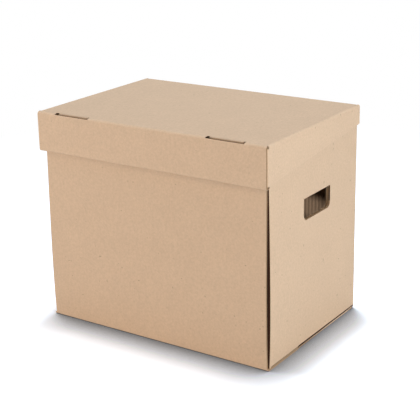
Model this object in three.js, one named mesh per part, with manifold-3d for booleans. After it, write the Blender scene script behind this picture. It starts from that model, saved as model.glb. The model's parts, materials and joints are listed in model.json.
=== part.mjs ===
// Archive container of brown corrugated board with an attached lid.
// Millimetres, +Z up, front towards -Y. The origin is the centre of the floor under the whole container.
// The container is one die-cut blank. Each panel between two creases is a mesh of its own, and the curved
// board of a crease belongs to one of the two panels that it joins.

import * as THREE from 'three';
import { mergeVertices } from 'three/addons/utils/BufferGeometryUtils.js';
import Module from 'manifold-3d';

const wasm = await Module();
wasm.setup();

// Driving dimensions of the container
const bodyWidth = 416;
const bodyDepth = 280;
const overallHeight = 350;

// Board, creases and clearances
const board = 3;
const gap = 0.3;
const creaseInside = 0.3;
const lidCreaseInside = 1.5;
const sideWallAir = 1.5;
const lidSlack = 0.4;
const cutOverrun = 2;
const creaseSteps = 5;

// Front wall: outer panel, two ears and an inner panel, rolled over at the rim
const frontEdgeInset = 3;
const earLength = 75;
const earTaper = 12;

// Base and the flaps that lie on it
const baseEdgeInset = 0.3;
const baseRecess = 1.5;
const baseRecessStart = 91;
const baseRecessSlant = 4;
const bottomFlapLength = 110;
const bottomFlapTaper = 14;

// Feet of the inner panels and the slots that lock them
const footWidth = 34;
const footClearOfFloor = 0.6;
const frontFootSpacing = 230;
const sideFootSpacing = 140;

// Hand holes in the double side walls
const handHoleWidth = 84;
const handHoleHeight = 35.5;
const handHoleTop = 241;
const handHoleCentre = 146;
const handHoleRadius = 9;
const innerHoleMargin = 1;
const innerHoleRise = 4;
const flapPushedIn = THREE.MathUtils.degToRad(125);

// Lid
const lidFrontEdgeInset = 0.5;
const frontSkirt = 64.5;
const sideSkirtFront = 60.5;
const sideSkirtRear = 31;
const skirtRearInset = 0.5;
const lidEarLength = 70;
const lidEarShoulder = 32;
const lidEarLift = 2;

// Lock tabs of the lid's inner front panel and the slots in its front crease
const tabWidth = 57;
const tabInset = 69.4;
const slotPlayLeft = 5.5;
const slotPlayRight = 3.5;
const slotBack = 8.3;
const slotEdgeTurn = THREE.MathUtils.degToRad(50);
const tabRelief = 1.5;
const tabRoot = 26;
const tabJogRise = 10;
const tabNoseDrop = 0.4;
const tabAir = 1.9;

// Thicknesses and levels that follow from the sizes above
const creaseOutside = creaseInside + board;
const creaseMid = creaseInside + board / 2;
const lidCreaseOutside = lidCreaseInside + board;
const lidCreaseMid = lidCreaseInside + board / 2;
const frontWall = 3 * board + 2 * gap;
const sideWall = 2 * board + sideWallAir;
const lidSideOverhang = board + lidSlack;
const lidFrontOverhang = frontWall + lidSlack;
const overallDepth = bodyDepth + lidFrontOverhang;

const sideX = bodyWidth / 2;
const lidX = sideX + lidSideOverhang;
const lidFrontY = -overallDepth / 2;
const frontY = lidFrontY + lidFrontOverhang;
const backY = overallDepth / 2;
const lidTopZ = overallHeight;
const rimZ = lidTopZ - board - gap;
const flapZ = board + gap;
const innerFloorZ = flapZ + board;
const skirtZ = lidTopZ - frontSkirt;

// Places of the boards in the front wall and in the lid's front, counted from the outer face
const earY = frontY + board + gap;
const frontInnerY = earY + board + gap;
const lidEarY = lidFrontY + board + gap;
const lidInnerY = lidEarY + board + gap;
const sideStartY = earY + creaseOutside + gap;
const sideEndY = backY - creaseOutside - gap;
const sideInnerStartY = frontY + frontWall + gap;
const sideInnerEndY = backY - board - gap;
const lidSkirtStartY = lidEarY + creaseOutside + gap;
const rimFoldZ = rimZ - creaseOutside - gap;
const flapFoldZ = flapZ + creaseOutside + gap;
const frontHalfWidth = sideX - frontEdgeInset;
const lidFrontHalfWidth = lidX - lidFrontEdgeInset;

const kraft = new THREE.MeshStandardMaterial({ color: '#d2b593', roughness: 0.9, metalness: 0 });
const kraftInside = new THREE.MeshStandardMaterial({ color: '#c7a882', roughness: 0.92, metalness: 0 });

// Closed outline from a list of [x, y] points
function outline(points) {
  return new THREE.Shape(points.map(([x, y]) => new THREE.Vector2(x, y)));
}

// Rectangle from its lowest and highest corners
function rectangle(x0, y0, x1, y1) {
  return outline([[x0, y0], [x1, y0], [x1, y1], [x0, y1]]);
}

// Section of a bent board: its middle line turns at each inner corner on an arc of the given radius,
// and the board lies half its thickness to either side of that line.
function bentBoard(corners, radii) {
  const nodes = corners.map(([x, y]) => new THREE.Vector2(x, y));
  const line = [{ point: nodes[0], ahead: nodes[1].clone().sub(nodes[0]).normalize() }];
  for (let i = 1; i < nodes.length - 1; i += 1) {
    const before = nodes[i].clone().sub(nodes[i - 1]).normalize();
    const after = nodes[i + 1].clone().sub(nodes[i]).normalize();
    const turn = Math.atan2(before.cross(after), before.dot(after));
    const radius = radii[i - 1];
    const reach = radius * Math.tan(Math.abs(turn) / 2);
    const start = nodes[i].clone().addScaledVector(before, -reach);
    const toCentre = new THREE.Vector2(-before.y, before.x).multiplyScalar(Math.sign(turn) * radius);
    const centre = start.clone().add(toCentre);
    for (let step = 0; step <= creaseSteps; step += 1) {
      const angle = (turn * step) / creaseSteps;
      const point = start.clone().rotateAround(centre, angle);
      line.push({ point, ahead: before.clone().rotateAround(new THREE.Vector2(), angle) });
    }
  }
  const last = nodes.length - 1;
  line.push({ point: nodes[last], ahead: nodes[last].clone().sub(nodes[last - 1]).normalize() });
  const apart = line.filter(({ point }, i) => i === 0 || point.distanceTo(line[i - 1].point) > gap / 10);
  const side = (sign) =>
    apart.map(({ point, ahead }) => [
      point.x - (sign * ahead.y * board) / 2,
      point.y + (sign * ahead.x * board) / 2,
    ]);
  return outline([...side(1), ...side(-1).reverse()]);
}

// Hand hole or flap outline in (y, z): a square-cornered top edge at the crease and round lower corners
function handOutline(Path, halfWidth, top, bottom, radius) {
  const path = new Path();
  path.moveTo(-halfWidth, top);
  path.lineTo(-halfWidth, bottom + radius);
  path.absarc(-halfWidth + radius, bottom + radius, radius, Math.PI, 1.5 * Math.PI, false);
  path.lineTo(halfWidth - radius, bottom);
  path.absarc(halfWidth - radius, bottom + radius, radius, 1.5 * Math.PI, 2 * Math.PI, false);
  path.lineTo(halfWidth, top);
  path.closePath();
  return path;
}

// An outline pushed along an axis: 'x' reads it as (y, z), 'y' as (x, z) and 'z' as (x, y)
function pushed(shape, axis, from, to) {
  const geometry = new THREE.ExtrudeGeometry(shape, {
    depth: Math.abs(to - from),
    bevelEnabled: false,
    curveSegments: creaseSteps,
  });
  const x = new THREE.Vector3(1, 0, 0);
  const y = new THREE.Vector3(0, 1, 0);
  const z = new THREE.Vector3(0, 0, 1);
  const low = Math.min(from, to);
  const high = Math.max(from, to);
  if (axis === 'x') {
    geometry.applyMatrix4(new THREE.Matrix4().makeBasis(y, z, x).setPosition(low, 0, 0));
  } else if (axis === 'y') {
    geometry.applyMatrix4(new THREE.Matrix4().makeBasis(x, z, y.clone().negate()).setPosition(0, high, 0));
  } else {
    geometry.translate(0, 0, low);
  }
  return geometry;
}

// Block from its two opposite corners
function block(a, b) {
  const shape = rectangle(Math.min(a[0], b[0]), Math.min(a[1], b[1]), Math.max(a[0], b[0]), Math.max(a[1], b[1]));
  return pushed(shape, 'z', a[2], b[2]);
}

function toSolid(geometry) {
  const bare = geometry.clone();
  bare.deleteAttribute('normal');
  bare.deleteAttribute('uv');
  const merged = mergeVertices(bare);
  const vertProperties = new Float32Array(merged.attributes.position.array);
  const triVerts = new Uint32Array(merged.index.array);
  return new wasm.Manifold(new wasm.Mesh({ numProp: 3, vertProperties, triVerts }));
}

function toGeometry(solid) {
  const mesh = solid.getMesh();
  const geometry = new THREE.BufferGeometry();
  geometry.setAttribute('position', new THREE.BufferAttribute(mesh.vertProperties, 3));
  geometry.setIndex(new THREE.BufferAttribute(mesh.triVerts, 1));
  const flat = geometry.toNonIndexed();
  flat.computeVertexNormals();
  return flat;
}

function cut(geometry, cutters) {
  return toGeometry(cutters.reduce((solid, cutter) => solid.subtract(toSolid(cutter)), toSolid(geometry)));
}

function trimmed(geometry, keeper) {
  return toGeometry(toSolid(geometry).intersect(toSolid(keeper)));
}

function joined(geometries) {
  return toGeometry(geometries.map(toSolid).reduce((whole, solid) => whole.add(solid)));
}

const container = new THREE.Group();
const body = new THREE.Group();
const lid = new THREE.Group();
container.add(body, lid);

function addPiece(group, name, geometry, material) {
  const mesh = new THREE.Mesh(geometry, material);
  mesh.name = name;
  group.add(mesh);
  return mesh;
}

// Feet of the inner panels, as offsets from the middle of the panel
const frontFeet = [-frontFootSpacing / 2, frontFootSpacing / 2];
const sideMiddleY = (sideInnerStartY + sideInnerEndY) / 2;
const sideFeet = [-sideFootSpacing / 2, sideFootSpacing / 2];
const footHalf = footWidth / 2;
const footSlotHalf = footHalf + gap;

// Lower edge of an inner panel with its feet, as outline points from left to right
function footedEdge(feet, level, middle) {
  const low = footClearOfFloor;
  return feet.flatMap((at) => [
    [middle + at - footHalf, level],
    [middle + at - footHalf, low],
    [middle + at + footHalf, low],
    [middle + at + footHalf, level],
  ]);
}

// Base: one panel between the creases to the front and the back wall. Its side edges are set back
// behind a slanted step, and slots take the feet of the inner panels.
function makeBase() {
  const section = bentBoard(
    [
      [frontY + board / 2, creaseOutside],
      [frontY + board / 2, board / 2],
      [backY - board / 2, board / 2],
      [backY - board / 2, creaseOutside],
    ],
    [creaseMid, creaseMid],
  );
  const half = sideX - baseEdgeInset;
  const cutters = [];
  for (const side of [1, -1]) {
    const stepY = frontY + baseRecessStart;
    const recess = outline([
      [side * (half + cutOverrun), stepY],
      [side * half, stepY],
      [side * (half - baseRecess), stepY + baseRecessSlant],
      [side * (half - baseRecess), backY - creaseOutside],
      [side * (half + cutOverrun), backY - creaseOutside],
    ]);
    cutters.push(pushed(recess, 'z', -cutOverrun, creaseOutside + cutOverrun));
    for (const at of sideFeet) {
      cutters.push(
        block(
          [side * (sideX - sideWall - gap), sideMiddleY + at - footSlotHalf, -cutOverrun],
          [side * (sideX - sideWall + board + gap), sideMiddleY + at + footSlotHalf, board + cutOverrun],
        ),
      );
    }
  }
  for (const at of frontFeet) {
    cutters.push(
      block(
        [at - footSlotHalf, frontInnerY - gap, -cutOverrun],
        [at + footSlotHalf, frontInnerY + board + gap, board + cutOverrun],
      ),
    );
  }
  return cut(pushed(section, 'x', -half, half), cutters);
}

// Back wall with the two vertical creases that carry the side walls
function makeBack() {
  const section = bentBoard(
    [
      [-sideX + board / 2, backY - creaseOutside],
      [-sideX + board / 2, backY - board / 2],
      [sideX - board / 2, backY - board / 2],
      [sideX - board / 2, backY - creaseOutside],
    ],
    [creaseMid, creaseMid],
  );
  return pushed(section, 'z', creaseOutside + gap, lidTopZ - creaseOutside - gap);
}

function makeFrontOuter() {
  const shape = rectangle(-frontHalfWidth, creaseOutside + gap, frontHalfWidth, rimFoldZ);
  return pushed(shape, 'y', frontY, frontY + board);
}

// Roll-over rim of the front wall
function makeFrontRim() {
  const section = bentBoard(
    [
      [frontY + board / 2, rimZ - creaseOutside],
      [frontY + board / 2, rimZ - board / 2],
      [frontInnerY + board / 2, rimZ - board / 2],
      [frontInnerY + board / 2, rimZ - creaseOutside],
    ],
    [creaseMid, creaseMid],
  );
  return pushed(section, 'x', -frontHalfWidth, frontHalfWidth);
}

function makeFrontInner() {
  const half = sideX - board - gap;
  const shape = outline([
    [-half, rimFoldZ],
    [-half, flapZ],
    ...footedEdge(frontFeet, flapZ, 0),
    [half, flapZ],
    [half, rimFoldZ],
  ]);
  return pushed(shape, 'y', frontInnerY, frontInnerY + board);
}

// Ear of a side wall, folded behind the outer front panel
function makeEar(side) {
  const outer = side * (sideX - board / 2);
  const end = side * (sideX - earLength);
  const section = bentBoard(
    [
      [outer, earY + creaseOutside],
      [outer, earY + board / 2],
      [end, earY + board / 2],
    ],
    [creaseMid],
  );
  const top = rimZ - board - gap;
  const keeper = outline([
    [side * (sideX + cutOverrun), flapZ],
    [side * (sideX - creaseOutside), flapZ],
    [end, flapZ + earTaper],
    [end, top - earTaper],
    [side * (sideX - creaseOutside), top],
    [side * (sideX + cutOverrun), top],
  ]);
  return trimmed(
    pushed(section, 'z', flapZ, top),
    pushed(keeper, 'y', earY - cutOverrun, earY + creaseOutside + cutOverrun),
  );
}

function makeSideOuter(side) {
  const shape = rectangle(sideStartY, flapFoldZ, sideEndY, rimFoldZ);
  const hole = handOutline(
    THREE.Path,
    handHoleWidth / 2,
    handHoleTop,
    handHoleTop - handHoleHeight,
    handHoleRadius,
  );
  shape.holes.push(moved(hole, frontY + handHoleCentre));
  return pushed(shape, 'x', side * (sideX - board), side * sideX);
}

// A hole outline moved along its first axis
function moved(path, along) {
  return new THREE.Path(path.getPoints(creaseSteps).map((p) => new THREE.Vector2(p.x + along, p.y)));
}

// Bottom flap of a side wall, lying on the base, with the crease up to the wall and slots for the feet
function makeBottomFlap(side) {
  const outer = side * (sideX - board / 2);
  const end = side * (sideX - bottomFlapLength);
  const section = bentBoard(
    [
      [outer, flapZ + creaseOutside],
      [outer, flapZ + board / 2],
      [end, flapZ + board / 2],
    ],
    [creaseMid],
  );
  const shoulder = side * (sideX - board - gap / 2);
  const keeper = outline([
    [side * (sideX + cutOverrun), sideStartY],
    [shoulder, sideStartY],
    [shoulder, sideInnerStartY],
    [end, sideInnerStartY + bottomFlapTaper],
    [end, sideEndY - bottomFlapTaper],
    [shoulder, sideEndY],
    [side * (sideX + cutOverrun), sideEndY],
  ]);
  const flap = trimmed(
    pushed(section, 'y', sideStartY, sideEndY),
    pushed(keeper, 'z', flapZ - cutOverrun, flapZ + creaseOutside + cutOverrun),
  );
  const slots = sideFeet.map((at) =>
    block(
      [side * (sideX - sideWall - gap), sideMiddleY + at - footSlotHalf, flapZ - cutOverrun],
      [side * (sideX - sideWall + board + gap), sideMiddleY + at + footSlotHalf, innerFloorZ + cutOverrun],
    ),
  );
  return cut(flap, slots);
}

// Roll-over rim of a side wall
function makeSideRim(side) {
  const outer = side * (sideX - board / 2);
  const inner = side * (sideX - sideWall + board / 2);
  const section = bentBoard(
    [
      [outer, rimZ - creaseOutside],
      [outer, rimZ - board / 2],
      [inner, rimZ - board / 2],
      [inner, rimZ - creaseOutside],
    ],
    [creaseMid, creaseMid],
  );
  return pushed(section, 'y', sideInnerStartY, sideEndY);
}

function makeSideInner(side) {
  const level = innerFloorZ + gap;
  const shape = outline([
    [sideInnerStartY, rimFoldZ],
    [sideInnerStartY, level],
    ...footedEdge(sideFeet, level, sideMiddleY),
    [sideInnerEndY, level],
    [sideInnerEndY, rimFoldZ],
  ]);
  const hole = handOutline(
    THREE.Path,
    handHoleWidth / 2 + innerHoleMargin,
    handHoleTop + innerHoleRise,
    handHoleTop - handHoleHeight - innerHoleMargin,
    handHoleRadius,
  );
  shape.holes.push(moved(hole, frontY + handHoleCentre));
  return pushed(shape, 'x', side * (sideX - sideWall), side * (sideX - sideWall + board));
}

// Flap of a hand hole, drawn closed about its crease at the origin
function makeHandleFlap(side) {
  const shape = handOutline(
    THREE.Shape,
    handHoleWidth / 2 - gap,
    -gap,
    gap - handHoleHeight,
    handHoleRadius,
  );
  return pushed(shape, 'x', 0, side * board);
}

// Centre of a lock slot and of the tab in it, for the left (-1) and the right (1) slot
const tabCentre = (side) => side * (lidX - tabInset);
const slotLeft = (side) => tabCentre(side) - tabWidth / 2 - slotPlayLeft;
const slotRight = (side) => tabCentre(side) + tabWidth / 2 + slotPlayRight;

// Lid top, with the soft front crease, the slots cut down into its bend and the crease to the back wall
function makeLidTop() {
  const section = bentBoard(
    [
      [lidFrontY + board / 2, lidTopZ - lidCreaseOutside],
      [lidFrontY + board / 2, lidTopZ - board / 2],
      [backY - board / 2, lidTopZ - board / 2],
      [backY - board / 2, lidTopZ - creaseOutside],
    ],
    [lidCreaseMid, creaseMid],
  );
  const centre = new THREE.Vector2(lidFrontY + lidCreaseOutside, lidTopZ - lidCreaseOutside);
  const reach = lidCreaseOutside + cutOverrun;
  const slot = outline([
    [centre.x, centre.y],
    [lidFrontY + slotBack, centre.y],
    [lidFrontY + slotBack, lidTopZ + cutOverrun],
    [centre.x - reach, lidTopZ + cutOverrun],
    [centre.x - reach * Math.sin(slotEdgeTurn), centre.y + reach * Math.cos(slotEdgeTurn)],
  ]);
  const cutters = [];
  for (const side of [1, -1]) {
    cutters.push(
      block(
        [side * (lidX - creaseOutside - gap), lidSkirtStartY - gap, lidTopZ - lidCreaseOutside - cutOverrun],
        [side * (lidX + cutOverrun), backY + cutOverrun, lidTopZ + cutOverrun],
      ),
      pushed(slot, 'x', slotLeft(side), slotRight(side)),
    );
  }
  return cut(pushed(section, 'x', -lidFrontHalfWidth, lidFrontHalfWidth), cutters);
}

function makeLidFrontOuter() {
  const top = lidTopZ - lidCreaseOutside - gap;
  const bottom = skirtZ + creaseOutside + gap;
  const shape = rectangle(-lidFrontHalfWidth, bottom, lidFrontHalfWidth, top);
  return pushed(shape, 'y', lidFrontY, lidFrontY + board);
}

// Rolled lower edge of the lid's front
function makeLidHem() {
  const section = bentBoard(
    [
      [lidFrontY + board / 2, skirtZ + creaseOutside],
      [lidFrontY + board / 2, skirtZ + board / 2],
      [lidInnerY + board / 2, skirtZ + board / 2],
      [lidInnerY + board / 2, skirtZ + creaseOutside],
    ],
    [creaseMid, creaseMid],
  );
  return pushed(section, 'x', -lidFrontHalfWidth, lidFrontHalfWidth);
}

// Inner front panel of the lid. Its tabs jog forward and stand up into the slots, just short of the top face.
function makeLidFrontInner() {
  const top = lidTopZ - board - gap;
  const bottom = skirtZ + creaseOutside + gap;
  const rootZ = lidTopZ - tabRoot;
  const panelMid = lidInnerY + board / 2;
  const tabMid = lidFrontY + board + tabAir + board / 2;
  const section = bentBoard(
    [
      [panelMid, rootZ - board],
      [panelMid, rootZ],
      [tabMid, rootZ + tabJogRise],
      [tabMid, lidTopZ - tabNoseDrop],
    ],
    [creaseMid, creaseMid],
  );
  const notches = [1, -1].flatMap((side) => [
    [tabCentre(side) + tabWidth / 2 + tabRelief, top],
    [tabCentre(side) + tabWidth / 2 + tabRelief, rootZ - board],
    [tabCentre(side) - tabWidth / 2 - tabRelief, rootZ - board],
    [tabCentre(side) - tabWidth / 2 - tabRelief, top],
  ]);
  const shape = outline([
    [-sideX, bottom],
    [sideX, bottom],
    [sideX, top],
    ...notches,
    [-sideX, top],
  ]);
  const tabs = [1, -1].map((side) =>
    pushed(section, 'x', tabCentre(side) - tabWidth / 2, tabCentre(side) + tabWidth / 2),
  );
  return joined([pushed(shape, 'y', lidInnerY, lidInnerY + board), ...tabs]);
}

// Side skirt of the lid: a trapezoid, deep at the front and shallow at the back, with its top crease
function makeLidSkirt(side) {
  const outer = side * (lidX - board / 2);
  const section = bentBoard(
    [
      [outer, skirtZ],
      [outer, lidTopZ - board / 2],
      [side * (lidX - creaseOutside), lidTopZ - board / 2],
    ],
    [creaseMid],
  );
  const endY = backY - skirtRearInset;
  const keeper = outline([
    [lidSkirtStartY, lidTopZ + cutOverrun],
    [lidSkirtStartY, lidTopZ - sideSkirtFront],
    [endY, lidTopZ - sideSkirtRear],
    [endY, lidTopZ + cutOverrun],
  ]);
  return trimmed(
    pushed(section, 'y', lidSkirtStartY, endY),
    pushed(keeper, 'x', side * (sideX - cutOverrun), side * (lidX + cutOverrun)),
  );
}

// Ear of a lid skirt, between the outer and the inner front panel and below the jog of the tab
function makeLidEar(side) {
  const outer = side * (lidX - board / 2);
  const end = side * (lidX - lidEarLength);
  const section = bentBoard(
    [
      [outer, lidEarY + creaseOutside],
      [outer, lidEarY + board / 2],
      [end, lidEarY + board / 2],
    ],
    [creaseMid],
  );
  const bottom = lidTopZ - sideSkirtFront;
  const top = lidTopZ - lidCreaseOutside - gap;
  const shoulderZ = lidTopZ - tabRoot - board;
  const keeper = outline([
    [side * (lidX + cutOverrun), bottom],
    [side * (lidX - creaseOutside), bottom],
    [end, bottom + lidEarLift],
    [end, shoulderZ],
    [side * (lidX - lidEarShoulder), shoulderZ],
    [side * (lidX - creaseOutside), top],
    [side * (lidX + cutOverrun), top],
  ]);
  return trimmed(
    pushed(section, 'z', bottom, top),
    pushed(keeper, 'y', lidEarY - cutOverrun, lidEarY + creaseOutside + cutOverrun),
  );
}

addPiece(body, 'base_panel', makeBase(), kraft);
addPiece(body, 'back_panel', makeBack(), kraft);
addPiece(body, 'front_outer_panel', makeFrontOuter(), kraft);
addPiece(body, 'front_rim', makeFrontRim(), kraft);
addPiece(body, 'front_inner_panel', makeFrontInner(), kraftInside);
for (const [word, side] of [['right', 1], ['left', -1]]) {
  addPiece(body, `${word}_front_ear`, makeEar(side), kraftInside);
  addPiece(body, `${word}_side_outer`, makeSideOuter(side), kraft);
  addPiece(body, `${word}_bottom_flap`, makeBottomFlap(side), kraftInside);
  addPiece(body, `${word}_side_rim`, makeSideRim(side), kraft);
  addPiece(body, `${word}_side_inner`, makeSideInner(side), kraftInside);
  const flap = addPiece(body, `${word}_handle_flap`, makeHandleFlap(side), kraft);
  flap.position.set(side * (sideX - board), frontY + handHoleCentre, handHoleTop);
  flap.rotation.y = side * flapPushedIn;
}

addPiece(lid, 'lid_top', makeLidTop(), kraft);
addPiece(lid, 'lid_front_outer', makeLidFrontOuter(), kraft);
addPiece(lid, 'lid_front_hem', makeLidHem(), kraft);
addPiece(lid, 'lid_front_inner', makeLidFrontInner(), kraftInside);
for (const [word, side] of [['right', 1], ['left', -1]]) {
  addPiece(lid, `lid_${word}_skirt`, makeLidSkirt(side), kraft);
  addPiece(lid, `lid_${word}_ear`, makeLidEar(side), kraftInside);
}

export default container;
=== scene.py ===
"""Archive container of brown corrugated board with an attached lid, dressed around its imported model.

Every panel is built as real board: two liners with a fluted medium between them, bent at the creases.
All lengths are metres in the model's own frame: +Z up, front towards -Y, floor at Z = 0.
"""
import json
import logging
import math
from collections.abc import Callable
from dataclasses import dataclass
from enum import Enum

import bmesh
import bpy
import numpy as np
from mathutils import Matrix, Vector

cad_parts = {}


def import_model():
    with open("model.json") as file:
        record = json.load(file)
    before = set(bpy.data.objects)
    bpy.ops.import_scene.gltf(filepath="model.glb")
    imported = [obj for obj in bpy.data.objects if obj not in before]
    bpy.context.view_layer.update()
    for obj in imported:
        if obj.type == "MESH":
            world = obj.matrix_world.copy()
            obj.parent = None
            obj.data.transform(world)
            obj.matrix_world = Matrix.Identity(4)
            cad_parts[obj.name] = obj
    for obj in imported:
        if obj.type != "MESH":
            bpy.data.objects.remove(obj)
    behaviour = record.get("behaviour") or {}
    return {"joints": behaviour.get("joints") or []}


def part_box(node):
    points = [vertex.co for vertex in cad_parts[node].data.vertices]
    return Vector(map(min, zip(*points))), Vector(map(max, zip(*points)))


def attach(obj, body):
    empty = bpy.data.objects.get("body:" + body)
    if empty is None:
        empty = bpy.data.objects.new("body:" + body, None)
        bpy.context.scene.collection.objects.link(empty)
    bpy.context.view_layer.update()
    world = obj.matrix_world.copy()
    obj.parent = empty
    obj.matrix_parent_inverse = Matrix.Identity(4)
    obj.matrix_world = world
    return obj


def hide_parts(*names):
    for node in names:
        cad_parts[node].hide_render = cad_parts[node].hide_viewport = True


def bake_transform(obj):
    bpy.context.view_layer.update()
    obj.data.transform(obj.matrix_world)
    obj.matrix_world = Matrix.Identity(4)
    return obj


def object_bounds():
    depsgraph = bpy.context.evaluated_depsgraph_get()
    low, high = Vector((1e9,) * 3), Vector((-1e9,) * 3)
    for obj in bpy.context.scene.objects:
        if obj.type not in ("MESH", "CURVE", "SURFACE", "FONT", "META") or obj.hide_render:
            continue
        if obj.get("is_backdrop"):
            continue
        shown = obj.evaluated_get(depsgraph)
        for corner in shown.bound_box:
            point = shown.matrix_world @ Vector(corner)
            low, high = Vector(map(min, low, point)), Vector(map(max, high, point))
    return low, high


LOG = logging.getLogger("container")
MM = 0.001
UV_MAP = "flutes"

# Thickness of one paper, and how deep a liner reaches into the board with its glue
PAPER = 0.35 * MM
LINER_DEPTH = 0.5 * MM

# Half distance between the two points that a crease's joint names
BLEND_HALF = 0.02 * MM

# Meshes: what is too short to keep, what is welded, how far rows stay from an outline, and rounding
THIN = 1e-6
WELD = 2e-6
ROW_CLEARANCE = 2e-5
NUDGE = 1e-9
DIGITS = 9
SHARP_ANGLE = math.radians(32)

# Parts of a gap that are enough to keep two sheets at one crease apart
HAIRS_IN_GAP = 8

# The span in which nearly all values of a noise lie
NOISE_LOW = 0.25
NOISE_HIGH = 0.75

# An edge along the width, a bend of a panel's points, or which of its faces are in a slit
ArrayFunction = Callable[[np.ndarray], np.ndarray]


class Flutes(Enum):
    """Which way the flutes of a board run: along its bent path, or across it along the crease lines."""

    ALONG_PATH = "along the path"
    ALONG_CREASE = "along the crease"


class Sheet(Enum):
    """The three papers of single-wall board, with the material index of each."""

    OUTER = 0
    INNER = 1
    MEDIUM = 2


class Shade(Enum):
    """The one further paper of the panels: dark paper that paints the shade in a slit between two boards."""

    IN_SLIT = 3


class Plane(Enum):
    """The plane of a board's section: axes of the path's two coordinates, then the axis of its width."""

    YZ = (1, 2, 0)
    XZ = (0, 2, 1)
    XY = (0, 1, 2)


# One paper of a board: its points, its UV points, its quads and which paper it is
SheetMesh = tuple[np.ndarray, np.ndarray, np.ndarray, Sheet]


def linear(hex_colour: str) -> tuple[float, float, float, float]:
    """Turns an sRGB hex colour into the linear colour that Blender's sockets take.

    Args:
        hex_colour: six hex digits after a hash mark.

    Returns:
        Linear red, green, blue and an alpha of 1.
    """
    digits = hex_colour.lstrip("#")
    channels = [int(digits[i : i + 2], 16) / 255 for i in (0, 2, 4)]
    out = [c / 12.92 if c <= 0.04045 else ((c + 0.055) / 1.055) ** 2.4 for c in channels]
    return (out[0], out[1], out[2], 1.0)


def add_node(
    tree: bpy.types.NodeTree, kind: str, settings: dict[str, object] | None = None, **inputs: object
) -> bpy.types.Node:
    """Adds one node to a tree, with its settings, values and links.

    Args:
        tree: the node tree.
        kind: the node's type name.
        settings: properties of the node, by name.
        inputs: socket values, or output sockets to link, by socket name with _ for a space; in0, in1 and so
            on name a socket by its place.

    Returns:
        The new node.
    """
    node = tree.nodes.new(kind)
    for name, value in (settings or {}).items():
        setattr(node, name, value)
    for name, value in inputs.items():
        by_place = name.startswith("in") and name[2:].isdigit()
        socket = node.inputs[int(name[2:])] if by_place else node.inputs[name.replace("_", " ")]
        if isinstance(value, bpy.types.NodeSocket):
            tree.links.new(value, socket)
        else:
            socket.default_value = value
    return node


@dataclass(frozen=True)
class Grain:
    """One noise in the paper: the size of its spots in mm, its octaves and its stretch along the axes."""

    size_mm: float
    octaves: float
    stretch: tuple[float, float, float] = (1.0, 1.0, 1.0)


@dataclass(frozen=True)
class Spots:
    """Small spots where a noise peaks: from which value on, from which one in full, and how bright."""

    grain: Grain
    start: float
    full: float
    brightness: float


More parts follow.
